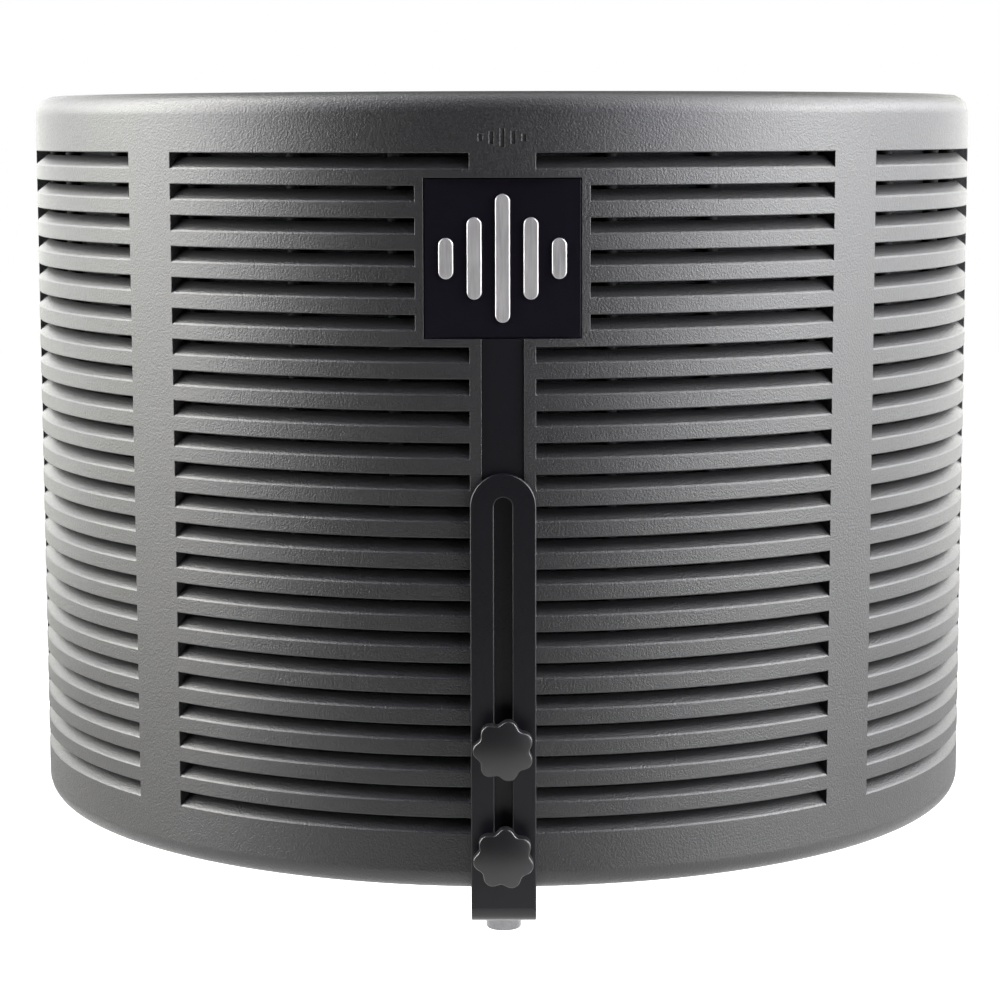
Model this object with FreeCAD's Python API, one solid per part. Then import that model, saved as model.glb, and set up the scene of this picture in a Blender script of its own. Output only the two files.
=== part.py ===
import FreeCAD, Part
import os, math
from FreeCAD import Vector as V

os.makedirs("parts", exist_ok=True)

# Microphone isolation shield: a half-round louvred tray with an absorber pack inside,
# carried by a slotted L bracket on a screw post that goes on a microphone stand.
# Frame: origin at the mouth of the stand socket, +Z up, the louvred outside faces -Y,
# the singer's side is +Y.  All lengths in millimetres.

# ---------------------------------------------------------------- driving dimensions
SHELL_R = 200.0          # outer radius, so 400 wide and 200 deep
YA = 110.0               # Y of the shell's vertical axis
Z_TOP, Z_BOT = 338.2, 39.7
WALL, FLANGE = 6.0, 3.0
R_LIP = 150.0            # inner radius of the two flanges
R_EDGE = 8.2             # rounding along the outer top and bottom edges
END_DEG = 1.2            # thickness of the end walls, in degrees of arc

PITCH, N_SLOTS = 11.8, 22
Z_SLOT0 = 315.8          # upper edge of the first louvre slot
SLOT_H, SLOT_GAP = 5.8, 1.6
SLOPE_D = 5.2            # how deep the sloping shelf of a slot runs into the wall
COL_W = 24.4             # plain middle column
PIL_0, PIL_1 = 39.2, 46.1   # plain pillars, degrees each side
END_1 = 83.6             # where the outer louvres stop, degrees

BADGE_W, BADGE_H, BADGE_T = 57.8, 58.5, 3.0
BADGE_ZT = 306.7         # top edge of the badge plate
BADGE_Y = YA - 197.6     # its front face
FRAME_HALF = 32.2        # plain frame round the badge

CH_W, CH_FLOOR = 15.7, 198.0   # channel down the column

BR_W, BR_T = 24.4, 3.0
BR_Y = YA - 203.2        # front face of the bracket
BR_TOP = 198.6
ARM_Z = 28.2             # underside of the arm
ARM_END = 113.2
BEND_R = 6.0
SLOT_V = (52.5, 189.8, 6.8)    # upright slot: bottom, top, width
SLOT_A = (-9.6, 105.0, 11.0)   # arm slot: near end, far end, width
BREAK = 0.3

KNOB_Z = (97.0, 56.2)
KNOB_PHASE = (13.0, 5.0)
M6 = 3.0
R38 = 4.7625             # 3/8 inch thread, outside radius
R58 = 7.9375             # 5/8 inch thread, outside radius

AX, UP = V(0, YA, 0), V(0, 0, 1)


# ---------------------------------------------------------------- helpers
def rz(r, z):
    return V(-r, YA, z)


def sector(pts, p0, p1):
    """Closed polygon of (radius, z) points swept about the shell's axis, phi in degrees from -Y."""
    w = Part.makePolygon([rz(*p) for p in pts] + [rz(*pts[0])])
    f = Part.Face(w)
    f.rotate(AX, UP, p0 + 90.0)
    return f.revolve(AX, UP, p1 - p0)


def box(x0, x1, y0, y1, z0, z1):
    return Part.makeBox(x1 - x0, y1 - y0, z1 - z0, V(x0, y0, z0))


def cyl(r, h, base, axis):
    return Part.makeCylinder(r, h, base, axis)


def at_phi(shape, phi):
    s = shape.copy()
    s.rotate(AX, UP, phi)
    return s


def obround_y(x, z0, z1, w, y0, y1):
    """Upright slot shape, cut along Y."""
    r = w / 2.0
    s = box(x - r, x + r, y0, y1, z0 + r, z1 - r)
    s = s.fuse([cyl(r, y1 - y0, V(x, y0, z0 + r), V(0, 1, 0)), cyl(r, y1 - y0, V(x, y0, z1 - r), V(0, 1, 0))])
    return s.removeSplitter()


def obround_z(y0, y1, w, z0, z1):
    r = w / 2.0
    s = box(-r, r, y0 + r, y1 - r, z0, z1)
    s = s.fuse([cyl(r, z1 - z0, V(0, y0 + r, z0), UP), cyl(r, z1 - z0, V(0, y1 - r, z0), UP)])
    return s.removeSplitter()


def save(name, shape):
    sols = shape.Solids
    out = sols[0] if len(sols) == 1 else Part.makeCompound(sols)
    out.exportStep("parts/%s.step" % name)
    bb = out.BoundBox
    print("%-22s solids %2d valid %s vol %10.1f  x %.1f..%.1f y %.1f..%.1f z %.1f..%.1f" % (
        name, len(sols), all(s.isValid() and s.isClosed() for s in sols), sum(s.Volume for s in sols),
        bb.XMin, bb.XMax, bb.YMin, bb.YMax, bb.ZMin, bb.ZMax))


# ---------------------------------------------------------------- outer shell
def outer_shell():
    R, f = SHELL_R, R_EDGE
    k = f * math.sin(math.radians(45))
    ri = R - WALL
    out = [Part.LineSegment(rz(R_LIP, Z_TOP), rz(R - f, Z_TOP)).toShape(),
           Part.Arc(rz(R - f, Z_TOP), rz(R - f + k, Z_TOP - f + k), rz(R, Z_TOP - f)).toShape(),
           Part.LineSegment(rz(R, Z_TOP - f), rz(R, Z_BOT + f)).toShape(),
           Part.Arc(rz(R, Z_BOT + f), rz(R - f + k, Z_BOT + f - k), rz(R - f, Z_BOT)).toShape(),
           Part.LineSegment(rz(R - f, Z_BOT), rz(R_LIP, Z_BOT)).toShape()]
    solid = out + [Part.LineSegment(rz(R_LIP, Z_BOT), rz(R_LIP, Z_TOP)).toShape()]
    tray = [rz(R_LIP, Z_BOT), rz(R_LIP, Z_BOT + FLANGE), rz(ri, Z_BOT + FLANGE), rz(ri, Z_TOP - FLANGE), rz(R_LIP, Z_TOP - FLANGE), rz(R_LIP, Z_TOP)]
    tray = out + [Part.LineSegment(a, b).toShape() for a, b in zip(tray, tray[1:])]
    # swept sector by sector, so every slat and pillar has a face of its own; the two ends are closed walls
    col = math.degrees(math.asin(COL_W / 2 / R))
    frm = math.degrees(math.asin(FRAME_HALF / R))
    at = [-90.0, -90.0 + END_DEG, -END_1, -PIL_1, -PIL_0, -frm, -col, col, frm, PIL_0, PIL_1, END_1, 90.0 - END_DEG, 90.0]
    secs = []
    for n, (a, b) in enumerate(zip(at, at[1:])):
        face = Part.Face(Part.Wire(solid if n in (0, len(at) - 2) else tray))
        face.rotate(AX, UP, a + 90.0)
        secs.append(face.revolve(AX, UP, b - a))
    s = secs[0].fuse(secs[1:])
    # backing rib behind the column, backing behind the badge, and screw bosses for the bezel
    add = [box(-12, 12, YA - 198.9, YA - 188.4, Z_BOT + 5.5, Z_TOP - 5.5),
           box(-12, 12, YA - 194.5, YA - 188.4, Z_BOT + 1.5, Z_TOP - 1.5),
           box(-31.5, 31.5, YA - 196.5, YA - 190.9, BADGE_ZT - BADGE_H - 3, BADGE_ZT + 3)]
    for phi in BOSS_PHI:
        for z0, z1 in ((Z_TOP - FLANGE - 7.5, Z_TOP - 1.5), (Z_BOT + 1.5, Z_BOT + FLANGE + 7.5)):
            add.append(at_phi(box(-4, 4, YA - 163, YA - R_LIP, z0, z1), phi))
    s = s.fuse(add)
    cuts = []
    # louvre slots: a flat ceiling, a thin way through at the back, and a shelf that slopes out and down
    slope = (SLOT_H - SLOT_GAP) / SLOPE_D
    for i in range(N_SLOTS):
        z = Z_SLOT0 - i * PITCH
        xb = R - 0.45
        pts = [(R + 0.6, z + 0.85), (R - 0.25, z), (ri - 1, z), (ri - 1, z - SLOT_GAP), (R - SLOPE_D, z - SLOT_GAP),
               (xb, z - SLOT_GAP - slope * (xb - (R - SLOPE_D))), (R, z - SLOT_H - 0.25), (R + 0.6, z - SLOT_H - 1.1)]
        inner = frm if 1 <= i <= 5 else col
        for a, b in ((-END_1, -PIL_1), (-PIL_0, -inner), (inner, PIL_0), (PIL_1, END_1)):
            cuts.append(sector(pts, a, b))
    # small generic level marks pressed into the top band
    for n, h in enumerate((2.6, 4.6, 6.8, 4.6, 2.6)):
        a = math.degrees((n - 2) * 4.0 / R)
        w = math.degrees(0.85 / R)
        cuts.append(sector([(R - 0.5, 321.4 - h / 2), (R + 1, 321.4 - h / 2), (R + 1, 321.4 + h / 2), (R - 0.5, 321.4 + h / 2)], a - w, a + w))
    # pocket for the badge and the channel below it
    m = 0.2
    cuts.append(box(-BADGE_W / 2 - m, BADGE_W / 2 + m, YA - 202, BADGE_Y + BADGE_T, BADGE_ZT - BADGE_H - m, BADGE_ZT + m))
    cuts.append(box(-CH_W / 2, CH_W / 2, YA - 202, YA - CH_FLOOR, 48.6, BADGE_ZT - BADGE_H))
    for z in KNOB_Z:
        cuts.append(cyl(4.5, 20, V(0, YA - 205, z), V(0, 1, 0)))
    for phi in BOSS_PHI:
        for z in (SCREW_ZT, SCREW_ZB):
            cuts.append(at_phi(cyl(1.55, 12, V(0, YA - R_LIP + 1, z), V(0, -1, 0)), phi))
    s = s.cut(cuts)
    return s


BOSS_PHI = (-84, -56, -28, 0, 28, 56, 84)
SCREW_ZT, SCREW_ZB = Z_TOP - FLANGE - 3.6, Z_BOT + FLANGE + 3.6

save("outer_shell", outer_shell())

# ---------------------------------------------------------------- badge
plate = box(-BADGE_W / 2, BADGE_W / 2, BADGE_Y, BADGE_Y + BADGE_T, BADGE_ZT - BADGE_H, BADGE_ZT)
ed = [e for e in plate.Edges if abs(e.BoundBox.YMin - BADGE_Y) < 1e-6 and abs(e.BoundBox.YMax - BADGE_Y) < 1e-6]
plate = plate.makeChamfer(0.35, ed)
save("badge_plate", plate)

bars = []
zc = BADGE_ZT - BADGE_H / 2
for n, h in enumerate((15.0, 30.0, 47.0, 30.0, 15.0)):
    b = obround_y((n - 2) * 10.4, zc - h / 2, zc + h / 2, 5.4, BADGE_Y - 1.2, BADGE_Y)
    ed = [e for e in b.Edges if abs(e.BoundBox.YMax - (BADGE_Y - 1.2)) < 1e-6]
    bars.append(b.makeChamfer(0.3, ed))
save("badge_emblem", Part.makeCompound(bars))

# ---------------------------------------------------------------- spine strip and its two threaded inserts
strip = box(-CH_W / 2 + 0.15, CH_W / 2 - 0.15, YA - CH_FLOOR - 1.0, YA - CH_FLOOR, 49.0, BADGE_ZT - BADGE_H - 0.2)
strip = strip.cut([cyl(3.6, 6, V(0, YA - CH_FLOOR - 3, z), V(0, 1, 0)) for z in KNOB_Z])
save("spine_strip", strip)
ins = []
for z in KNOB_Z:
    b = cyl(4.5, 9.4, V(0, YA - 198.0, z), V(0, 1, 0)).cut(cyl(M6 + 0.05, 12, V(0, YA - 199, z), V(0, 1, 0)))
    ins.append(b)
save("spine_inserts", Part.makeCompound(ins))

# ---------------------------------------------------------------- absorber pack, outside to inside
Z0, Z1 = Z_BOT + FLANGE, Z_TOP - FLANGE
rods = [at_phi(cyl(2.85, Z1 - Z0, V(0, YA - 191.0, Z0), UP), a) for a in (-80, -66, -52, -38, -24, -12, 12, 24, 38, 52, 66, 80)]
save("outer_spacer_rods", Part.makeCompound(rods))
save("wool_layer", sector([(178.4, Z0 + 0.4), (188.0, Z0 + 0.4), (188.0, Z1 - 0.4), (178.4, Z1 - 0.4)], -88, 88))
save("foil_layer", sector([(177.2, Z0 + 0.4), (178.0, Z0 + 0.4), (178.0, Z1 - 0.4), (177.2, Z1 - 0.4)], -88, 88))
rods = [at_phi(cyl(2.75, Z1 - Z0, V(0, YA - 174.2, Z0), UP), a) for a in (-78, -65, -52, -39, -26, -13, 0, 13, 26, 39, 52, 65, 78)]
save("inner_spacer_rods", Part.makeCompound(rods))
FOAM_Z0, FOAM_Z1 = Z0 + 8.0, Z1 - 8.0
foam = sector([(150.4, FOAM_Z0), (171.2, FOAM_Z0), (171.2, FOAM_Z1), (150.4, FOAM_Z1)], -86.5, 86.5)
foam = foam.fuse(sector([(139.0, Z_BOT + 17), (150.6, Z_BOT + 17), (150.6, Z_TOP - 17), (139.0, Z_TOP - 17)], -83.0, 83.0))
save("foam_absorber", foam.removeSplitter())

# ---------------------------------------------------------------- bezel round the singer's side, and its screws
bez = sector([(147.4, Z_BOT + 0.6), (149.95, Z_BOT + 0.6), (149.95, Z_TOP - 0.6), (147.4, Z_TOP - 0.6)], -89.6, 89.6)
bez = bez.cut(sector([(140, Z_BOT + 16), (155, Z_BOT + 16), (155, Z_TOP - 16), (140, Z_TOP - 16)], -83.6, 83.6))
holes = [at_phi(cyl(1.75, 8, V(0, YA - 145, z), V(0, -1, 0)), phi) for phi in BOSS_PHI for z in (SCREW_ZT, SCREW_ZB)]
bez = bez.cut(holes)
save("inner_bezel", bez)
scr = []
for phi in BOSS_PHI:
    for z in (SCREW_ZT, SCREW_ZB):
        head = cyl(2.8, 1.8, V(0, YA - 145.55, z), V(0, -1, 0))
        ed = [e for e in head.Edges if abs(e.BoundBox.YMax - (YA - 145.55)) < 1e-6 and e.BoundBox.YLength < 1e-6]
        head = head.makeFillet(0.8, ed)
        cross = box(-0.45, 0.45, YA - 146.45, YA - 145, z - 1.7, z + 1.7).fuse(box(-1.7, 1.7, YA - 146.45, YA - 145, z - 0.45, z + 0.45))
        sc = head.cut(cross).fuse(cyl(1.5, 11, V(0, YA - 147.3, z), V(0, -1, 0)))
        scr.append(at_phi(sc, phi))
save("bezel_screws", Part.makeCompound(scr))


# ---------------------------------------------------------------- slotted L bracket
def bracket():
    yF, yB, zU, zT = BR_Y, BR_Y + BR_T, ARM_Z, ARM_Z + BR_T
    ri = BEND_R - BR_T
    co = V(0, yF + BEND_R, zU + BEND_R)
    c, s45 = math.cos(math.radians(45)), math.sin(math.radians(45))
    P = lambda y, z: V(0, y, z)
    e = [Part.LineSegment(P(yF, BR_TOP), P(yF, zU + BEND_R)).toShape(),
         Part.Arc(P(yF, zU + BEND_R), P(co.y - BEND_R * c, co.z - BEND_R * s45), P(yF + BEND_R, zU)).toShape(),
         Part.LineSegment(P(yF + BEND_R, zU), P(ARM_END, zU)).toShape(),
         Part.LineSegment(P(ARM_END, zU), P(ARM_END, zT)).toShape(),
         Part.LineSegment(P(ARM_END, zT), P(yF + BEND_R, zT)).toShape(),
         Part.Arc(P(yF + BEND_R, zT), P(co.y - ri * c, co.z - ri * s45), P(yB, zU + BEND_R)).toShape(),
         Part.LineSegment(P(yB, zU + BEND_R), P(yB, BR_TOP)).toShape(),
         Part.LineSegment(P(yB, BR_TOP), P(yF, BR_TOP)).toShape()]
    b = Part.Face(Part.Wire(e)).extrude(V(BR_W, 0, 0))
    b.translate(V(-BR_W / 2, 0, 0))
    r = BR_W / 2
    t1 = box(-r - 1, r + 1, yF - 1, yB + 1, BR_TOP - r, BR_TOP + 1).cut(cyl(r, 10, V(0, yF - 3, BR_TOP - r), V(0, 1, 0)))
    t2 = box(-r - 1, r + 1, ARM_END - r, ARM_END + 1, zU - 1, zT + 1).cut(cyl(r, 10, V(0, ARM_END - r, zU - 3), UP))
    v0, v1, vw = SLOT_V
    a0, a1, aw = SLOT_A
    b = b.cut([t1, t2, obround_y(0, v0, v1, vw, yF - 1, yB + 1), obround_z(a0, a1, aw, zU - 1, zT + 1)])

    def outside(p):
        if p.z >= zU + BEND_R - 1e-6:
            return abs(p.y - yF) < 1e-6
        if p.y >= yF + BEND_R - 1e-6:
            return abs(p.z - zU) < 1e-6
        return abs(math.hypot(p.y - co.y, p.z - co.z) - BEND_R) < 1e-6

    def inside(p):
        if p.z >= zU + BEND_R - 1e-6:
            return abs(p.y - yB) < 1e-6
        if p.y >= yF + BEND_R - 1e-6:
            return abs(p.z - zT) < 1e-6
        return abs(math.hypot(p.y - co.y, p.z - co.z) - ri) < 1e-6
    out = []
    for ed in b.Edges:
        q = [ed.valueAt(ed.FirstParameter + t * (ed.LastParameter - ed.FirstParameter)) for t in (0.02, 0.5, 0.98)]
        along_x = ed.BoundBox.YLength < 1e-6 and ed.BoundBox.ZLength < 1e-6
        if not along_x and (all(outside(p) for p in q) or all(inside(p) for p in q)):
            out.append(ed)
    try:
        c2 = b.makeChamfer(BREAK, out)
        if c2.isValid() and len(c2.Solids) == 1:
            return c2
        print("bracket chamfer invalid")
    except Exception as ex:
        print("bracket chamfer failed", ex)
    return b


save("slotted_bracket", bracket())


# ---------------------------------------------------------------- star knobs, studs and washers
def star(phase):
    """Seven-lobed knob, drawn along +Z from its back face at z = 0; +Y is up."""
    hub_r, hub_h, head_h = 6.6, 5.0, 6.2
    pts = []
    n = 7
    for i in range(n * 10):
        a = 2 * math.pi * i / (n * 10)
        w = math.cos(n * a)
        r = 10.62 + 0.92 * w - 0.10 * math.cos(2 * n * a)
        t = a + math.radians(phase)
        pts.append(V(r * math.sin(t), r * math.cos(t), hub_h))
    c = Part.BSplineCurve()
    c.interpolate(Points=pts, PeriodicFlag=True)
    head = Part.Face(Part.Wire(c.toShape())).extrude(V(0, 0, head_h))
    Rs = 95.0
    ball = Part.makeSphere(Rs, V(0, 0, hub_h + head_h - Rs))
    head = head.common(ball)
    ed = [e for e in head.Edges if e.Length > 40 and e.BoundBox.ZMin > hub_h + 3]
    try:
        h2 = head.makeFillet(0.7, ed)
        if h2.isValid():
            head = h2
    except Exception as ex:
        print("knob front fillet failed", ex)
    ed = [e for e in head.Edges if e.Length > 40 and e.BoundBox.ZMax < hub_h + 0.1]
    try:
        h2 = head.makeFillet(0.5, ed)
        if h2.isValid():
            head = h2
    except Exception as ex:
        print("knob back fillet failed", ex)
    hub = Part.makeCone(hub_r, hub_r + 1.0, hub_h + 0.5)
    k = head.fuse(hub).cut(cyl(M6, 8.0, V(0, 0, -1), UP)).removeSplitter()
    return k


for name, z, ph in (("upper", KNOB_Z[0], KNOB_PHASE[0]), ("lower", KNOB_Z[1], KNOB_PHASE[1])):
    w0 = BR_Y - 0.1                 # back of the washer, just clear of the bracket
    wt = 1.2
    wash = cyl(7.2, wt, V(0, w0 - wt, z), V(0, 1, 0)).cut(cyl(M6 + 0.2, 4, V(0, w0 - wt - 1, z), V(0, 1, 0)))
    ed = [e for e in wash.Edges if e.Length > 40 and e.BoundBox.YMax < w0 - wt + 1e-6]
    save(name + "_washer", wash.makeChamfer(0.25, ed))
    k = star(ph)
    k.rotate(V(0, 0, 0), V(1, 0, 0), 90)
    k.translate(V(0, w0 - wt - 0.05, z))
    save(name + "_knob", k)
    back = w0 - wt - 0.05
    stud_end = YA - 190.2
    stud = cyl(M6, stud_end - (back - 7.0), V(0, back - 7.0, z), V(0, 1, 0))
    ed = [e for e in stud.Edges if e.BoundBox.YLength < 1e-6]
    save(name + "_stud", stud.makeChamfer(0.5, [e for e in ed if e.BoundBox.YMin > stud_end - 0.01]))


# ---------------------------------------------------------------- screw post, slot bush, washer, lock nut, microphone adaptor
def post():
    pts = [(0, 0), (6.7, 0), (7.3, 0.6), (7.3, 14.0), (6.7, 14.5), (6.7, 15.5), (7.3, 16.0), (7.3, 21.5), (8.4, 23.6), (11.6, 24.6),
           (12.0, 25.0), (12.0, ARM_Z - 0.5), (11.6, ARM_Z - 0.1), (R38, ARM_Z - 0.1), (R38, 57.4), (R38 - 0.6, 58.0), (0, 58.0)]
    w = Part.makePolygon([V(r, 0, z) for r, z in pts] + [V(0, 0, 0)])
    s = Part.Face(w).revolve(V(0, 0, 0), UP, 360)
    s = s.cut([cyl(R38, 14.5, V(0, 0, -0.5), UP), Part.makeCone(5.3, R38 - 0.2, 1.0, V(0, 0, -0.3), UP).common(box(-6, 6, -6, 6, -1, 0.6)),
               box(6.4, 9, -9, 9, 16.8, 20.8), box(-9, -6.4, -9, 9, 16.8, 20.8)])
    return s


save("stand_post", post())
bush = obround_z(-9.0, 9.0, 10.8, ARM_Z + 0.05, ARM_Z + BR_T - 0.05).cut(cyl(R38 + 0.08, 8, V(0, 0, ARM_Z - 2), UP))
save("slot_bush", bush)
uw0 = ARM_Z + BR_T + 0.1
uw = cyl(12.0, 1.6, V(0, 0, uw0), UP).cut(cyl(R38 + 0.15, 4, V(0, 0, uw0 - 1), UP))
ed = [e for e in uw.Edges if e.Length > 70 and e.BoundBox.ZMin > uw0 + 1.0]
save("post_washer", uw.makeChamfer(0.3, ed))


def knurled(r, h, n, depth, z0):
    pts = []
    for i in range(n):
        a0 = 2 * math.pi * i / n
        for f, rr in ((0.0, r), (0.5, r), (0.75, r - depth)):
            a = a0 + 2 * math.pi / n * f
            pts.append(V(rr * math.cos(a), rr * math.sin(a), z0))
    s = Part.Face(Part.makePolygon(pts + [pts[0]])).extrude(V(0, 0, h))
    lim = [(0, 0), (r - 0.7, 0), (r + 0.2, 0.9), (r + 0.2, h - 0.9), (r - 0.7, h), (0, h)]
    w = Part.makePolygon([V(a, 0, z0 + b) for a, b in lim] + [V(0, 0, z0)])
    return s.common(Part.Face(w).revolve(V(0, 0, 0), UP, 360))


nz = uw0 + 1.65
nut = knurled(13.0, 8.0, 36, 0.6, nz).cut(cyl(R38 + 0.05, 12, V(0, 0, nz - 1), UP))
save("lock_nut", nut)
az = 44.0
ad = knurled(10.0, 3.2, 28, 0.5, az)
thr = [(0, 3.0), (7.2, 3.0), (7.2, 3.9), (R58, 4.6), (R58, 18.0), (R58 - 0.8, 18.8), (0, 18.8)]
w = Part.makePolygon([V(a, 0, az + b) for a, b in thr] + [V(0, 0, az + 3.0)])
ad = ad.fuse(Part.Face(w).revolve(V(0, 0, 0), UP, 360))
ad = ad.cut([cyl(R38, 58.0 - az + 1, V(0, 0, az - 1), UP), box(-10, 10, -0.8, 0.8, az + 17.2, az + 20)])
save("mic_thread_adaptor", ad.removeSplitter())
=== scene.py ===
import bpy
import math
import numpy as np
from mathutils import Matrix, Vector, noise


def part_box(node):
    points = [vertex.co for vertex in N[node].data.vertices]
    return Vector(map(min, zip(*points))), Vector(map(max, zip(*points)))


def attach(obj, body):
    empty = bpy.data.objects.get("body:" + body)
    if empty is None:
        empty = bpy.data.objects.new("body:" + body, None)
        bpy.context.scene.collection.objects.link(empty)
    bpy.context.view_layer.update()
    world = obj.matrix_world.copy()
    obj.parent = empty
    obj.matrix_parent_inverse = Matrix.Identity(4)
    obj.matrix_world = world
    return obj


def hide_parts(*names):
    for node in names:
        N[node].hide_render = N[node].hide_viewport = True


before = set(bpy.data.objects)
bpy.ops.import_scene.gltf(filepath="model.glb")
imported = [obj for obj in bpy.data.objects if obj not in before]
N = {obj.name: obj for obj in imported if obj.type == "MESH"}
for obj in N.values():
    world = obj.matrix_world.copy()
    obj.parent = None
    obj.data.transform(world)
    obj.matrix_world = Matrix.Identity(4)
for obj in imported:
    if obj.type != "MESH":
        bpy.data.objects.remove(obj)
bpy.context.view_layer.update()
scene = bpy.context.scene
scene.view_settings.view_transform = "Standard"
scene.view_settings.look = "None"
YA = 0.110                    # Y of the shell's upright axis
R38, R58, R6 = 0.0047625, 0.0079375, 0.003

# ------------------------------------------------------------------ camera
yaw, tilt, roll = -0.0006, 0.132516, -0.002246
fwd = Vector((math.sin(yaw) * math.cos(tilt), math.cos(yaw) * math.cos(tilt), -math.sin(tilt)))
right = Vector((math.cos(yaw), -math.sin(yaw), 0.0))
up = right.cross(fwd)
r2 = math.cos(roll) * right + math.sin(roll) * up
u2 = -math.sin(roll) * right + math.cos(roll) * up
cam_data = bpy.data.cameras.new("camera")
cam_data.sensor_width = 36.0
cam_data.lens = 2771.3 * 36.0 / 1000.0
cam_data.shift_x = (500.0 - 499.0) / 1000.0
cam_data.shift_y = -(500.0 - 497.13) / 1000.0
cam_data.clip_start, cam_data.clip_end = 0.05, 60.0
cam = bpy.data.objects.new("camera", cam_data)
scene.collection.objects.link(cam)
m = Matrix((r2, u2, -fwd)).transposed().to_4x4()
m.translation = Vector((-0.00089, -1.10456, 0.32489))
cam.matrix_world = m
scene.camera = cam


# ------------------------------------------------------------------ material helpers
class Mat:
    """A Principled material with its procedural inputs, in object coordinates, metres."""

    def __init__(self, name):
        self.m = bpy.data.materials.new(name)
        self.m.use_nodes = True
        self.t = self.m.node_tree
        self.t.nodes.clear()
        self.out = self.t.nodes.new("ShaderNodeOutputMaterial")
        self.p = self.t.nodes.new("ShaderNodeBsdfPrincipled")
        self.t.links.new(self.p.outputs[0], self.out.inputs[0])
        self.co = self.t.nodes.new("ShaderNodeTexCoord").outputs["Object"]
        self.middle = None

    def set(self, **kw):
        for k, v in kw.items():
            self.p.inputs[k.replace("_", " ")].default_value = v
        return self

    def link(self, a, b):
        self.t.links.new(a, b)

    def scaled(self, sx, sy, sz, rot=(0, 0, 0)):
        n = self.t.nodes.new("ShaderNodeMapping")
        n.inputs["Scale"].default_value = (sx, sy, sz)
        n.inputs["Rotation"].default_value = rot
        self.link(self.co, n.inputs["Vector"])
        return n.outputs[0]

    def noise(self, scale, detail=3.0, rough=0.5, dist=0.0, co=None):
        n = self.t.nodes.new("ShaderNodeTexNoise")
        n.inputs["Scale"].default_value = scale
        n.inputs["Detail"].default_value = detail
        n.inputs["Roughness"].default_value = rough
        n.inputs["Distortion"].default_value = dist
        self.link(co if co is not None else self.co, n.inputs["Vector"])
        return n.outputs[0]

    def cells(self, scale, feature="SMOOTH_F1", smooth=0.6, co=None):
        n = self.t.nodes.new("ShaderNodeTexVoronoi")
        n.feature = feature
        n.inputs["Scale"].default_value = scale
        if feature == "SMOOTH_F1":
            n.inputs["Smoothness"].default_value = smooth
        self.link(co if co is not None else self.co, n.inputs["Vector"])
        return n.outputs["Distance"]

    def math(self, op, a, b):
        n = self.t.nodes.new("ShaderNodeMath")
        n.operation = op
        for i, v in enumerate((a, b)):
            if isinstance(v, (int, float)):
                n.inputs[i].default_value = v
            else:
                self.link(v, n.inputs[i])
        return n.outputs[0]

    def remap(self, v, lo, hi, to_lo, to_hi):
        n = self.t.nodes.new("ShaderNodeMapRange")
        for i, x in enumerate((lo, hi, to_lo, to_hi)):
            n.inputs[i + 1].default_value = x
        self.link(v, n.inputs[0])
        return n.outputs[0]

    def ramp(self, v, stops):
        n = self.t.nodes.new("ShaderNodeValToRGB")
        e = n.color_ramp.elements
        while len(e) < len(stops):
            e.new(0.5)
        for el, (pos, c) in zip(e, stops):
            el.position = pos
            el.color = (*c, 1.0)
        self.link(v, n.inputs[0])
        return n.outputs[0]

    def color(self, v, lo, hi, a=0.35, b=0.65):
        self.link(self.ramp(v, [(a, lo), (b, hi)]), self.p.inputs["Base Color"])
        return self

    def rough(self, v, lo, hi, a=0.3, b=0.7):
        self.link(self.remap(v, a, b, lo, hi), self.p.inputs["Roughness"])
        return self

    def vec(self, op, a, b=None):
        n = self.t.nodes.new("ShaderNodeVectorMath")
        n.operation = op
        self.link(a, n.inputs[0])
        if b is not None:
            self.link(b, n.inputs[1])
        return n

    def true_round(self, radius, fillet, z_bot, z_top, y_axis):
        """World normal that follows the exact round of an upright half-round tray, where the surface lies on it."""
        sep = self.t.nodes.new("ShaderNodeSeparateXYZ")
        self.link(self.co, sep.inputs[0])
        x, y, z = sep.outputs[0], self.math("SUBTRACT", sep.outputs[1], y_axis), sep.outputs[2]
        rho = self.math("SQRT", self.math("ADD", self.math("MULTIPLY", x, x), self.math("MULTIPLY", y, y)), 0.0)
        dr = self.math("MAXIMUM", self.math("SUBTRACT", rho, radius - fillet), 0.00001)
        dz = self.math("SUBTRACT", self.math("MAXIMUM", self.math("SUBTRACT", z, z_top - fillet), 0.0),
                       self.math("MAXIMUM", self.math("SUBTRACT", z_bot + fillet, z), 0.0))
        comb = self.t.nodes.new("ShaderNodeCombineXYZ")
        self.link(self.math("MULTIPLY", self.math("DIVIDE", x, rho), dr), comb.inputs[0])
        self.link(self.math("MULTIPLY", self.math("DIVIDE", y, rho), dr), comb.inputs[1])
        self.link(dz, comb.inputs[2])
        reach = self.vec("LENGTH", comb.outputs[0]).outputs["Value"]
        tr = self.t.nodes.new("ShaderNodeVectorTransform")
        tr.vector_type, tr.convert_from, tr.convert_to = "NORMAL", "OBJECT", "WORLD"
        self.link(comb.outputs[0], tr.inputs[0])
        exact = self.vec("NORMALIZE", tr.outputs[0]).outputs[0]
        geo = self.t.nodes.new("ShaderNodeNewGeometry").outputs["Normal"]
        near = self.remap(self.math("ABSOLUTE", self.math("SUBTRACT", reach, fillet), 0.0), 0.0003, 0.0006, 1.0, 0.0)
        agree = self.remap(self.vec("DOT_PRODUCT", exact, geo).outputs["Value"], 0.955, 0.985, 0.0, 1.0)
        mx = self.t.nodes.new("ShaderNodeMix")
        mx.data_type = "VECTOR"
        self.link(self.math("MULTIPLY", near, agree), mx.inputs[0])
        self.link(geo, mx.inputs[4])
        self.link(exact, mx.inputs[5])
        return self.vec("NORMALIZE", mx.outputs[1]).outputs[0]

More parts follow.
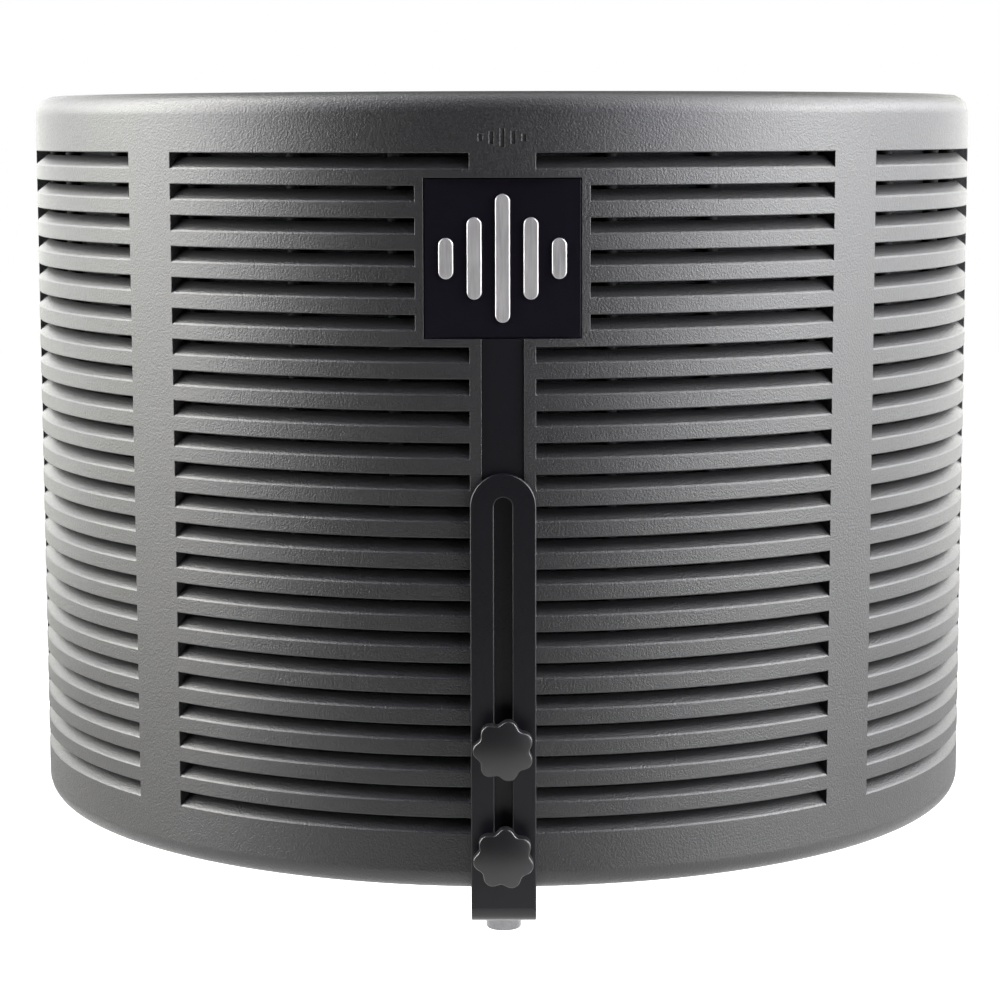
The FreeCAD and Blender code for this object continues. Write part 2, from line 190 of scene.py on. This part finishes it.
    def domed(self, z_low, z_high, curve):
        """World normal of a gently domed face that looks along -Y, centred on the knob at z_low or at z_high."""
        sep = self.t.nodes.new("ShaderNodeSeparateXYZ")
        self.link(self.co, sep.inputs[0])
        high = self.math("GREATER_THAN", sep.outputs[2], (z_low + z_high) / 2)
        zc = self.math("ADD", self.math("MULTIPLY", high, z_high - z_low), z_low)
        comb = self.t.nodes.new("ShaderNodeCombineXYZ")
        self.link(self.math("MULTIPLY", sep.outputs[0], curve), comb.inputs[0])
        comb.inputs[1].default_value = -1.0
        self.link(self.math("MULTIPLY", self.math("SUBTRACT", sep.outputs[2], zc), curve), comb.inputs[2])
        tr = self.t.nodes.new("ShaderNodeVectorTransform")
        tr.vector_type, tr.convert_from, tr.convert_to = "NORMAL", "OBJECT", "WORLD"
        self.link(comb.outputs[0], tr.inputs[0])
        dome = self.vec("NORMALIZE", tr.outputs[0]).outputs[0]
        geo = self.t.nodes.new("ShaderNodeNewGeometry").outputs["Normal"]
        same = self.vec("DOT_PRODUCT", dome, geo).outputs["Value"]
        agree = self.remap(same, 0.93, 0.965, 0.0, 1.0)
        # the middle of the face, far from every edge, takes the dome alone
        up = self.math("SUBTRACT", sep.outputs[2], zc)
        r2 = self.math("ADD", self.math("MULTIPLY", sep.outputs[0], sep.outputs[0]), self.math("MULTIPLY", up, up))
        self.middle = self.math("MULTIPLY", self.math("LESS_THAN", r2, 0.000036), self.math("GREATER_THAN", same, 0.5))
        mx = self.t.nodes.new("ShaderNodeMix")
        mx.data_type = "VECTOR"
        self.link(self.math("MAXIMUM", agree, self.middle), mx.inputs[0])
        self.link(geo, mx.inputs[4])
        self.link(dome, mx.inputs[5])
        return self.vec("NORMALIZE", mx.outputs[1]).outputs[0]

    def bump(self, height, strength, distance, edge=None, samples=6, base=None):
        n = self.t.nodes.new("ShaderNodeBump")
        n.inputs["Strength"].default_value = strength
        n.inputs["Distance"].default_value = distance
        self.link(height, n.inputs["Height"])
        if edge:
            b = self.t.nodes.new("ShaderNodeBevel")
            b.samples = samples
            b.inputs["Radius"].default_value = edge
            if base is not None:
                self.link(base, b.inputs["Normal"])
            out = b.outputs[0]
            if self.middle is not None:
                mx = self.t.nodes.new("ShaderNodeMix")
                mx.data_type = "VECTOR"
                self.link(self.middle, mx.inputs[0])
                self.link(out, mx.inputs[4])
                self.link(base, mx.inputs[5])
                out = mx.outputs[1]
            self.link(out, n.inputs["Normal"])
        self.link(n.outputs[0], self.p.inputs["Normal"])
        return self


def moulded(name, lo, hi, r_lo, r_hi, grain, depth, strength=0.6, edge=0.0004, spec=0.5, fine=0.5, tray=None, dome=None):
    """Moulded plastic with a spark-eroded grain of that many cells a metre; fine is how much of the gloss follows the grain."""
    k = Mat(name)
    g = k.noise(grain, 2.5, 0.55, 0.15)
    f = k.noise(grain * 2.3, 2.0, 0.5)
    h = k.math("ADD", k.math("MULTIPLY", g, 0.7), k.math("MULTIPLY", f, 0.3))
    big = k.noise(9.0, 3.0, 0.55)
    k.color(k.math("ADD", k.math("MULTIPLY", h, 0.6), k.math("MULTIPLY", big, 0.4)), lo, hi)
    k.rough(k.math("ADD", k.math("MULTIPLY", g, fine), k.math("MULTIPLY", big, 1.0 - fine)), r_lo, r_hi)
    k.set(Specular_IOR_Level=spec)
    base = k.true_round(*tray) if tray else k.domed(*dome) if dome else None
    return k.bump(h, strength, depth, edge, base=base).m


def metal(name, lo, hi, r_lo, r_hi, stretch=(1, 1, 1), grain=900.0, depth=0.00002, strength=0.4, edge=0.00025, metallic=1.0):
    """Metal, with its grain stretched along the axis it was turned or brushed."""
    k = Mat(name)
    co = k.scaled(*stretch)
    g = k.noise(grain, 3.0, 0.6, 0.0, co)
    big = k.noise(60.0, 3.0, 0.6)
    k.color(k.math("ADD", k.math("MULTIPLY", g, 0.6), k.math("MULTIPLY", big, 0.4)), lo, hi)
    k.rough(k.math("ADD", k.math("MULTIPLY", g, 0.6), k.math("MULTIPLY", big, 0.4)), r_lo, r_hi)
    k.set(Metallic=metallic)
    return k.bump(g, strength, depth, edge).m


def give(node_or_obj, material):
    o = N[node_or_obj] if isinstance(node_or_obj, str) else node_or_obj
    if not o.material_slots:
        o.data.materials.append(material)
    for s in o.material_slots:
        s.material = material


# ------------------------------------------------------------------ materials
shell_m = moulded("shell_plastic", (0.0045, 0.0045, 0.0050), (0.0105, 0.0105, 0.0110), 0.34, 0.47, 1250.0, 0.00031, 0.85, fine=0.8, tray=(0.2, 0.0082, 0.0397, 0.3382, YA))
bezel_m = moulded("bezel_plastic", (0.008, 0.008, 0.0085), (0.016, 0.016, 0.0165), 0.38, 0.52, 1150.0, 0.0003, 0.8, fine=0.8)
knob_m = moulded("knob_plastic", (0.0040, 0.0040, 0.0045), (0.0070, 0.0070, 0.0075), 0.28, 0.35, 1500.0, 0.00003, 0.5, 0.0005, dome=(0.0562, 0.097, 26.0))
strip_m = moulded("strip_black", (0.0024, 0.0024, 0.0034), (0.0040, 0.0040, 0.0054), 0.26, 0.33, 2200.0, 0.00001, 0.4, 0.0002, 0.35)
rod_m = moulded("rod_plastic", (0.004, 0.004, 0.0045), (0.007, 0.007, 0.0075), 0.6, 0.7, 900.0, 0.00004, 0.5, 0.0003, 0.12)
bush_m = moulded("bush_nylon", (0.60, 0.58, 0.52), (0.68, 0.66, 0.60), 0.38, 0.46, 1300.0, 0.00002, 0.4, 0.0003)
badge_m = moulded("badge_black", (0.0022, 0.0019, 0.0036), (0.0036, 0.0032, 0.0054), 0.22, 0.28, 1800.0, 0.000006, 0.35, 0.0002, 0.35)
bracket_m = moulded("bracket_black", (0.0014, 0.0014, 0.0024), (0.0030, 0.0030, 0.0044), 0.26, 0.34, 2400.0, 0.00002, 0.5, 0.0005, 0.36)
emblem_m = metal("badge_silver", (0.33, 0.325, 0.325), (0.43, 0.425, 0.42), 0.36, 0.46, (1, 1, 0.06), 1500.0, 0.000012, 0.35, 0.0003, 0.8)
chrome_m = metal("post_chrome", (0.13, 0.13, 0.135), (0.19, 0.19, 0.195), 0.05, 0.11, (1, 1, 1.0), 700.0, 0.000004, 0.3, 0.0002)
nut_m = metal("nut_chrome", (0.15, 0.15, 0.155), (0.22, 0.22, 0.225), 0.10, 0.20, (1, 1, 1.0), 900.0, 0.000005, 0.3, 0.0002)
washer_m = metal("washer_steel", (0.16, 0.16, 0.17), (0.24, 0.24, 0.25), 0.26, 0.38, (1, 1, 1), 1400.0, 0.00001, 0.4, 0.0002)
stud_m = metal("stud_steel", (0.20, 0.20, 0.205), (0.28, 0.28, 0.285), 0.20, 0.32, (1, 1, 1), 1400.0, 0.00001, 0.4, 0.0001)
brass_m = metal("adaptor_brass", (0.24, 0.165, 0.070), (0.34, 0.240, 0.110), 0.18, 0.30, (1, 1, 0.2), 1200.0, 0.000008, 0.4, 0.00015)
insert_m = metal("insert_brass", (0.62, 0.46, 0.22), (0.76, 0.58, 0.32), 0.22, 0.34, (1, 1, 1), 1200.0, 0.00001, 0.4, 0.00015)
foil_m = metal("foil_sheet", (0.66, 0.66, 0.67), (0.78, 0.78, 0.79), 0.24, 0.38, (1, 1, 1), 120.0, 0.0002, 0.5, 0.0003)
screw_m = metal("screw_black", (0.018, 0.018, 0.019), (0.030, 0.030, 0.031), 0.26, 0.36, (1, 1, 1), 1600.0, 0.00001, 0.4, 0.0002, 0.0)


def foam_material():
    k = Mat("foam_black")
    c1 = k.cells(950.0, "F1")
    c2 = k.cells(2100.0, "F1")
    n = k.noise(420.0, 4.0, 0.6)
    h = k.math("ADD", k.math("MULTIPLY", k.math("MULTIPLY", c1, c2), 1.1), k.math("MULTIPLY", n, 0.5))
    k.color(h, (0.0025, 0.0025, 0.003), (0.017, 0.017, 0.0185), 0.25, 0.75)
    k.rough(n, 0.82, 0.98)
    k.set(Sheen_Weight=0.08, Sheen_Roughness=0.6, Specular_IOR_Level=0.15)
    return k.bump(h, 0.9, 0.0007).m


def wool_material():
    k = Mat("wool_felt")
    a = k.noise(700.0, 5.0, 0.7, 1.6, k.scaled(1, 1, 0.35, (0.5, 0.2, 0.1)))
    b = k.noise(650.0, 5.0, 0.7, 1.9, k.scaled(0.4, 0.4, 1, (0.1, 0.7, 0.3)))
    h = k.math("MAXIMUM", a, b)
    k.color(h, (0.008, 0.008, 0.009), (0.034, 0.034, 0.037), 0.4, 0.75)
    k.rough(a, 0.88, 0.98)
    k.set(Sheen_Weight=0.3, Sheen_Roughness=0.5, Specular_IOR_Level=0.2)
    return k.bump(h, 0.8, 0.0006).m


foam_m, wool_m = foam_material(), wool_material()

for name, mat in {
    "outer_shell": shell_m, "badge_plate": badge_m, "badge_emblem": emblem_m, "spine_strip": strip_m, "spine_inserts": insert_m,
    "outer_spacer_rods": rod_m, "foil_layer": foil_m, "inner_spacer_rods": rod_m, "inner_bezel": bezel_m, "bezel_screws": screw_m,
    "slotted_bracket": bracket_m, "upper_washer": washer_m, "lower_washer": washer_m, "upper_knob": knob_m, "lower_knob": knob_m,
    "upper_stud": stud_m, "lower_stud": stud_m, "stand_post": chrome_m, "slot_bush": bush_m, "post_washer": nut_m,
    "lock_nut": nut_m, "mic_thread_adaptor": brass_m, "wool_layer": wool_m, "foam_absorber": foam_m,
}.items():
    give(name, mat)


# ------------------------------------------------------------------ mesh helpers
def mesh_object(name, verts, faces, material, sharp=None):
    me = bpy.data.meshes.new(name)
    me.from_pydata([tuple(v) for v in verts], [], faces)
    me.validate()
    me.update()
    o = bpy.data.objects.new(name, me)
    scene.collection.objects.link(o)
    me.materials.append(material)
    me.shade_smooth()
    if sharp is not None:
        me.set_sharp_from_angle(angle=math.radians(sharp))
    return o


def stand_for(o, body, slot, *nodes):
    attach(o, body)
    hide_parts(*nodes)
    return o


def ridge(s):
    """Depth below the crest of a 60 degree thread, 0 at the crest and 1 at the root, s in turns."""
    t = np.abs(2.0 * (s - np.floor(s)) - 1.0)
    return np.clip(t * 1.30 - 0.13, 0.0, 1.0)


def turned(name, rings, n, material, sharp=32.0):
    """A turned piece about Z from rings (r, z, shape); shape(theta, z, r) gives the radius there. Both ends close on the axis."""
    th = np.arange(n) * 2 * math.pi / n
    rows, poles = [], []
    for i, (r, z, shape) in enumerate(rings):
        if r < 1e-9:
            rows.append(None)
            continue
        rr = shape(th, z, r) if shape else np.full(n, r)
        rows.append(np.stack([rr * np.cos(th), rr * np.sin(th), np.full(n, z)], 1))
    verts, start = [], []
    for (r, z, _), row in zip(rings, rows):
        start.append(len(verts))
        if row is None:
            verts.append((0.0, 0.0, z))
        else:
            verts.extend(map(tuple, row))
    faces = []
    for i in range(len(rings) - 1):
        a, b = start[i], start[i + 1]
        for j in range(n):
            k = (j + 1) % n
            if rows[i] is None:
                faces.append((a, b + k, b + j))
            elif rows[i + 1] is None:
                faces.append((a + j, a + k, b))
            else:
                faces.append((a + j, a + k, b + k, b + j))
    o = mesh_object(name, verts, faces, material, sharp)
    return o


def thread_rows(r, z0, z1, pitch, depth, per=8, fade=0.8, hand=1.0):
    """Rings of a helical thread whose crest is at r, between z0 and z1, in metres."""
    lo, hi = min(z0, z1), max(z0, z1)

    def shape(th, z, rr):
        e = min((z - lo) / (fade * pitch), (hi - z) / (fade * pitch), 1.0)
        e = max(e, 0.0)
        return rr - depth * (1.0 - e) - depth * e * ridge(z / pitch - hand * th / (2 * math.pi))

    k = int(round((hi - lo) / pitch * per))
    zs = np.linspace(z0, z1, k + 1)
    return [(r, float(z), shape) for z in zs]


MM = 0.001
P16, P27, PM6 = 0.0254 / 16, 0.0254 / 27, 0.001


# ------------------------------------------------------------------ screw post
def flats(th, z, r):
    return np.minimum(r, 0.0064 / np.maximum(np.abs(np.cos(th)), 1e-6))


post_rings = [(0, 14.0, None), (3.6, 14.0, None)]
post_rings = [(a * MM, b * MM, c) for a, b, c in post_rings]
post_rings += thread_rows(R38, 13.8 * MM, 0.75 * MM, P16, 0.00085)
post_rings += [(a * MM, b * MM, c) for a, b, c in (
    (4.85, 0.5, None), (5.3, 0.02, None), (5.45, 0.0, None), (6.6, 0.0, None), (6.78, 0.04, None), (7.2, 0.46, None), (7.3, 0.62, None), (7.3, 13.95, None),
    (7.22, 14.1, None), (6.75, 14.5, None), (6.68, 14.62, None), (6.68, 15.38, None), (6.75, 15.5, None), (7.22, 15.9, None), (7.3, 16.05, None),
    (7.3, 16.8, None), (7.3, 16.801, flats), (7.3, 20.799, flats), (7.3, 20.8, None), (7.3, 21.4, None), (7.42, 21.8, None), (7.85, 22.6, None), (8.4, 23.4, None), (8.9, 23.8, None),
    (11.4, 24.55, None), (11.85, 24.75, None), (12.0, 25.1, None), (12.0, 27.6, None), (11.88, 27.95, None), (11.6, 28.1, None), (4.3, 28.1, None), (3.95, 28.2, None))]
post_rings += thread_rows(R38, 28.4 * MM, 57.2 * MM, P16, 0.00092)
post_rings += [(3.75 * MM, 57.6 * MM, None), (3.3 * MM, 58.0 * MM, None), (0, 58.0 * MM, None)]
post = turned("stand_post_turned", post_rings, 96, chrome_m)
stand_for(post, "stand_mount", "post_chrome", "stand_post")


# ------------------------------------------------------------------ microphone thread adaptor
def knurl28(th, z, r):
    f = (th * 28 / (2 * math.pi)) % 1.0
    cut = np.clip(np.minimum(f, 1 - f) / 0.22, 0, 1)
    return r - 0.00045 * (1 - cut)


ad = [(0, 57.9, None), (4.2, 57.9, None), (4.78, 57.3, None), (4.78, 44.6, None), (5.2, 44.0, None), (9.1, 44.0, None), (9.35, 44.12, knurl28), (9.95, 44.9, knurl28), (9.98, 45.0, knurl28),
      (9.98, 46.2, knurl28), (9.95, 46.3, knurl28), (9.35, 47.08, knurl28), (9.1, 47.2, None), (7.4, 47.2, None), (7.2, 47.3, None), (7.2, 47.9, None), (7.3, 48.0, None)]
ad = [(a * MM, b * MM, c) for a, b, c in ad]
ad += thread_rows(R58, 48.2 * MM, 61.9 * MM, P27, 0.00052)
ad += [(7.35 * MM, 62.2 * MM, None), (6.9 * MM, 62.75 * MM, None), (6.7 * MM, 62.8 * MM, None), (0, 62.8 * MM, None)]
adaptor = turned("mic_adaptor_turned", ad, 168, brass_m)
bpy.ops.mesh.primitive_cube_add(size=1.0, location=(0, 0, 62.7 * MM))
cutter = bpy.context.active_object
cutter.scale = (0.03, 0.0016, 0.003)
bpy.context.view_layer.update()
b = adaptor.modifiers.new("slot", "BOOLEAN")
b.operation, b.solver, b.object = "DIFFERENCE", "EXACT", cutter
dg = bpy.context.evaluated_depsgraph_get()
cut_mesh = bpy.data.meshes.new_from_object(adaptor.evaluated_get(dg))
adaptor.modifiers.clear()
adaptor.data = cut_mesh
bpy.data.objects.remove(cutter, do_unlink=True)
give(adaptor, brass_m)
adaptor.data.shade_smooth()
adaptor.data.set_sharp_from_angle(angle=math.radians(32))
stand_for(adaptor, "stand_mount", "adaptor_brass", "mic_thread_adaptor")


# ------------------------------------------------------------------ knob studs, M6, along -Y
for which in ("upper", "lower"):
    lo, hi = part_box(which + "_stud")
    zc = (lo.z + hi.z) / 2
    L = hi.y - lo.y
    rr = [(0, 0.0, None), (2.4 * MM, 0.0, None), (2.5 * MM, 0.12 * MM, None)]
    rr += thread_rows(R6, 0.3 * MM, L - 4.0 * MM, PM6, 0.00055)
    rr += [(2.99 * MM, L - 3.8 * MM, None), (2.99 * MM, L - 0.3 * MM, None), (2.6 * MM, L, None), (0, L, None)]
    s = turned(which + "_stud_threaded", rr, 48, stud_m)
    # the piece is drawn along +Z from its free end, which lies deepest in the shell
    s.data.transform(Matrix.Translation((0, hi.y, zc)) @ Matrix.Rotation(math.radians(90), 4, "X"))
    s.data.update()
    stand_for(s, which + "_star_knob", "stud_steel", which + "_stud")


# ------------------------------------------------------------------ foam absorber: upright wedges, one closed surface
def polar(r, phi, z):
    return (r * math.sin(phi), YA - r * math.cos(phi), z)


def foam():
    f_lo, f_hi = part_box("foam_absorber")
    zb0, zb1 = f_lo.z, f_hi.z                     # hidden base, behind the bezel
    zr0, zr1 = 0.0567, 0.3212                     # raised face, inside the bezel's window
    half_base, half_face = math.radians(86.5), math.radians(83.0)
    n_rib, per = 34, 14
    # columns
    pitch = 2 * half_face / n_rib
    cols = [(-half_base, 0.0, 0.0), (-half_base + 0.02, 0.0, 0.0), (-half_face - 0.0012, 0.0, 0.0)]
    for i in range(n_rib * per + 1):
        t = i / per
        phi = -half_face + pitch * t
        f = t - math.floor(t)
        w = 0.5 - 0.5 * math.cos(2 * math.pi * f)
        w = w ** 0.80                              # slightly broad, round crests with sharper valleys
        cols.append((phi, w, 1.0))
    cols += [(half_face + 0.0012, 0.0, 0.0), (half_base - 0.02, 0.0, 0.0), (half_base, 0.0, 0.0)]
    rows = [(zb0, 0.0), (zr0 - 0.001, 0.0), (zr0 - 0.0001, 0.0), (zr0, 0.55), (zr0 + 0.0002, 0.75), (zr0 + 0.0006, 0.88), (zr0 + 0.0013, 0.96), (zr0 + 0.0024, 1.0)]
    k = 118
    rows += [(zr0 + 0.0024 + (zr1 - zr0 - 0.0048) * i / k, 1.0) for i in range(1, k)]
    rows += [(zr1 - 0.0024, 1.0), (zr1 - 0.0013, 0.96), (zr1 - 0.0006, 0.88), (zr1 - 0.0002, 0.75), (zr1, 0.55), (zr1 + 0.0001, 0.0), (zr1 + 0.001, 0.0), (zb1, 0.0)]
    verts, faces = [], []
    nc, nr = len(cols), len(rows)
    for z, e in rows:
        for phi, w, face in cols:
            r = 0.1506 - face * e * (0.0006 + 0.0105 * w)
            if face and e > 0:
                p = Vector((phi * 150.0, z * 1000.0, 0.0))
                r += 0.00022 * noise.noise(p * 0.22) * e + 0.00016 * noise.noise(p * 0.75 + Vector((7, 3, 1))) * e
                zz = z + 0.00025 * noise.noise(p * 0.3 + Vector((1, 9, 4))) * (e if e < 1.0 else 0.0)
            else:
                zz = z
            verts.append(polar(r, phi, zz))
    for i in range(nr - 1):
        for j in range(nc - 1):
            a = i * nc + j
            faces.append((a, a + 1, a + nc + 1, a + nc))
    # back, top, bottom and end faces
    rb = 0.1712
    back = []
    for z in (zb0, zb1):
        back.append(len(verts))
        for phi, _, _ in cols:
            verts.append(polar(rb, phi, z))
    b0, b1 = back
    for j in range(nc - 1):
        faces.append((b0 + j + 1, b0 + j, b1 + j, b1 + j + 1))
        faces.append((j + 1, j, b0 + j, b0 + j + 1))
        t = (nr - 1) * nc
        faces.append((t + j, t + j + 1, b1 + j + 1, b1 + j))
    left = [i * nc for i in range(nr)]
    faces.append(tuple(left + [b1, b0]))
    rightc = [i * nc + nc - 1 for i in range(nr)]
    faces.append(tuple(reversed(rightc + [b1 + nc - 1, b0 + nc - 1])))
    o = mesh_object("foam_wedges", verts, faces, foam_m, 50)
    return o


foam_o = foam()
stand_for(foam_o, "shield", "foam_black", "foam_absorber")


# ------------------------------------------------------------------ wool felt sheet between the rods and the foil
def wool():
    w_lo, w_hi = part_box("wool_layer")
    z0, z1 = w_lo.z + 0.0004, w_hi.z - 0.0004
    half = math.radians(87.9)
    nc, nr = 150, 80
    verts, faces = [], []
    for side, r0 in ((0, 0.1877), (1, 0.1787)):
        for i in range(nr + 1):
            for j in range(nc + 1):
                phi, z = -half + 2 * half * j / nc, z0 + (z1 - z0) * i / nr
                p = Vector((phi * 188.0, z * 1000.0, 40.0 * side))
                d = 0.00022 * noise.noise(p * 0.08) + 0.00016 * noise.noise(p * 0.35)
                verts.append(polar(r0 + (d if side == 0 else -d * 0.5) - (0.0001 if side == 0 else 0.0), phi, z))
    n1 = (nr + 1) * (nc + 1)
    w = nc + 1
    for i in range(nr):
        for j in range(nc):
            a = i * w + j
            faces.append((a, a + w, a + w + 1, a + 1))
            faces.append((n1 + a, n1 + a + 1, n1 + a + w + 1, n1 + a + w))
    for j in range(nc):
        faces.append((j, j + 1, n1 + j + 1, n1 + j))
        t = nr * w + j
        faces.append((t + 1, t, n1 + t, n1 + t + 1))
    for i in range(nr):
        a = i * w
        faces.append((a + w, a, n1 + a, n1 + a + w))
        a = i * w + nc
        faces.append((a, a + w, n1 + a + w, n1 + a))
    return mesh_object("wool_felt_sheet", verts, faces, wool_m, 50)


wool_o = wool()
stand_for(wool_o, "shield", "wool_felt", "wool_layer")

# ------------------------------------------------------------------ floor, world and lights
floor_k = Mat("floor_pale")
fn = floor_k.noise(3.0, 3.0, 0.5)
floor_k.color(fn, (0.445, 0.445, 0.445), (0.455, 0.455, 0.455))
floor_k.set(Roughness=1.0, Specular_IOR_Level=0.0)
floor_k.p.inputs["Emission Color"].default_value = (1.0, 1.0, 1.0, 1.0)
seen = floor_k.t.nodes.new("ShaderNodeLightPath").outputs["Is Camera Ray"]
floor_k.link(floor_k.math("MULTIPLY", seen, 1.0), floor_k.p.inputs["Emission Strength"])
span = 6.0
floor = mesh_object("floor", [(-span, -span, -0.25), (span, -span, -0.25), (span, span, -0.25), (-span, span, -0.25)], [(0, 1, 2, 3)], floor_k.m)

world = bpy.data.worlds.new("studio")
scene.world = world
world.use_nodes = True
wt = world.node_tree
wt.nodes.clear()
wo = wt.nodes.new("ShaderNodeOutputWorld")
mix = wt.nodes.new("ShaderNodeMixShader")
lp = wt.nodes.new("ShaderNodeLightPath")
dim, white = wt.nodes.new("ShaderNodeBackground"), wt.nodes.new("ShaderNodeBackground")
dim.inputs[0].default_value, dim.inputs[1].default_value = (1.0, 1.0, 1.0, 1.0), 0.0
white.inputs[0].default_value, white.inputs[1].default_value = (1.0, 1.0, 1.0, 1.0), 1.0
wt.links.new(lp.outputs["Is Camera Ray"], mix.inputs[0])
wt.links.new(dim.outputs[0], mix.inputs[1])
wt.links.new(white.outputs[0], mix.inputs[2])
wt.links.new(mix.outputs[0], wo.inputs[0])

# soft boxes round the object: place, point they face, width, height, radiance as red, green, blue
BOXES = (
    ((-0.942, 0.660, 0.075), (0.000, 0.000, 0.075), 0.489, 0.25, (4.10, 4.11, 4.01)),
    ((-1.133, 0.200, 0.075), (0.000, 0.000, 0.075), 0.489, 0.25, (3.14, 2.97, 2.64)),
    ((-1.111, -0.298, 0.075), (0.000, 0.000, 0.075), 0.489, 0.25, (10.64, 10.55, 10.11)),
    ((0.881, -0.739, 0.075), (0.000, 0.000, 0.075), 0.489, 0.25, (11.03, 11.04, 10.52)),
    ((1.111, -0.298, 0.075), (0.000, 0.000, 0.075), 0.489, 0.25, (8.64, 8.65, 8.39)),
    ((1.133, 0.200, 0.075), (0.000, 0.000, 0.075), 0.489, 0.25, (5.59, 5.54, 5.62)),
    ((0.942, 0.660, 0.075), (0.000, 0.000, 0.075), 0.489, 0.25, (4.14, 4.16, 4.01)),
    ((-0.575, 0.996, 0.360), (0.000, 0.000, 0.360), 0.489, 0.32, (2.38, 2.41, 2.31)),
    ((-0.942, 0.660, 0.360), (0.000, 0.000, 0.360), 0.489, 0.32, (2.78, 2.73, 2.82)),
    ((-1.133, 0.200, 0.360), (0.000, 0.000, 0.360), 0.489, 0.32, (9.20, 9.65, 8.76)),
    ((-1.111, -0.298, 0.360), (0.000, 0.000, 0.360), 0.489, 0.32, (16.34, 16.12, 16.72)),
    ((0.881, -0.739, 0.360), (0.000, 0.000, 0.360), 0.489, 0.32, (11.93, 11.85, 12.81)),
    ((1.111, -0.298, 0.360), (0.000, 0.000, 0.360), 0.489, 0.32, (14.76, 14.82, 15.16)),
    ((1.133, 0.200, 0.360), (0.000, 0.000, 0.360), 0.489, 0.32, (4.98, 5.02, 5.12)),
    ((0.942, 0.660, 0.360), (0.000, 0.000, 0.360), 0.489, 0.32, (3.40, 3.40, 3.48)),
    ((0.575, 0.996, 0.360), (0.000, 0.000, 0.360), 0.489, 0.32, (2.41, 2.41, 2.33)),
    ((-0.575, 0.996, 0.760), (0.000, 0.000, 0.760), 0.489, 0.48, (2.07, 2.07, 2.09)),
    ((-0.942, 0.660, 0.760), (0.000, 0.000, 0.760), 0.489, 0.48, (5.24, 5.27, 5.37)),
    ((-1.133, 0.200, 0.760), (0.000, 0.000, 0.760), 0.489, 0.48, (21.81, 21.92, 20.42)),
    ((-1.111, -0.298, 0.760), (0.000, 0.000, 0.760), 0.489, 0.48, (20.11, 19.59, 19.77)),
    ((0.881, -0.739, 0.760), (0.000, 0.000, 0.760), 0.489, 0.48, (4.76, 4.50, 6.12)),
    ((1.111, -0.298, 0.760), (0.000, 0.000, 0.760), 0.489, 0.48, (29.99, 30.12, 29.33)),
    ((1.133, 0.200, 0.760), (0.000, 0.000, 0.760), 0.489, 0.48, (15.38, 15.25, 15.66)),
    ((0.942, 0.660, 0.760), (0.000, 0.000, 0.760), 0.489, 0.48, (6.33, 6.32, 6.47)),
    ((0.575, 0.996, 0.760), (0.000, 0.000, 0.760), 0.489, 0.48, (1.13, 1.15, 1.04)),
    ((-0.873, 0.234, 1.193), (0.000, 0.000, 0.190), 0.600, 0.50, (23.90, 23.88, 23.05)),
    ((-0.782, -0.452, 1.193), (0.000, 0.000, 0.190), 0.600, 0.50, (3.47, 3.46, 4.00)),
    ((0.782, -0.452, 1.193), (0.000, 0.000, 0.190), 0.600, 0.50, (14.32, 14.18, 14.77)),
    ((0.873, 0.234, 1.193), (0.000, 0.000, 0.190), 0.600, 0.50, (12.24, 12.28, 12.27)),
    ((-0.361, 0.209, 1.474), (0.000, 0.000, 0.190), 0.600, 0.50, (4.61, 4.66, 4.66)),
    ((-0.295, -0.295, 1.474), (0.000, 0.000, 0.190), 0.600, 0.50, (0.29, 0.22, 0.55)),
    ((0.361, 0.209, 1.474), (0.000, 0.000, 0.190), 0.600, 0.50, (4.66, 4.64, 4.69)),
    ((-0.750, 1.300, 0.050), (-0.750, 0.000, 0.050), 0.800, 0.40, (1.46, 1.50, 1.31)),
    ((0.750, 1.300, 0.050), (0.750, 0.000, 0.050), 0.800, 0.40, (1.84, 1.85, 1.78)),
    ((-0.750, 1.300, 0.500), (-0.750, 0.000, 0.500), 0.800, 0.50, (1.33, 1.33, 1.25)),
    ((0.750, 1.300, 0.500), (0.750, 0.000, 0.500), 0.800, 0.50, (1.10, 1.10, 1.03)),
    ((-0.600, 1.300, 1.050), (-0.600, 0.000, 1.050), 1.000, 0.60, (0.75, 0.75, 0.73)),
    ((0.600, 1.300, 1.050), (0.600, 0.000, 1.050), 1.000, 0.60, (0.64, 0.65, 0.59)),
)
for i, (at, aim, w, h, rad) in enumerate(BOXES):
    top = max(rad)
    ld = bpy.data.lights.new("soft_box_%d" % i, "AREA")
    ld.shape = "RECTANGLE"
    ld.size, ld.size_y = w, h
    ld.energy = top * math.pi * w * h
    ld.color = tuple(c / top for c in rad)
    lo_ = bpy.data.objects.new("soft_box_%d" % i, ld)
    scene.collection.objects.link(lo_)
    lo_.location = at
    lo_.rotation_mode = "QUATERNION"
    lo_.rotation_quaternion = (Vector(aim) - Vector(at)).to_track_quat("-Z", "Y")
    lo_.visible_camera = False
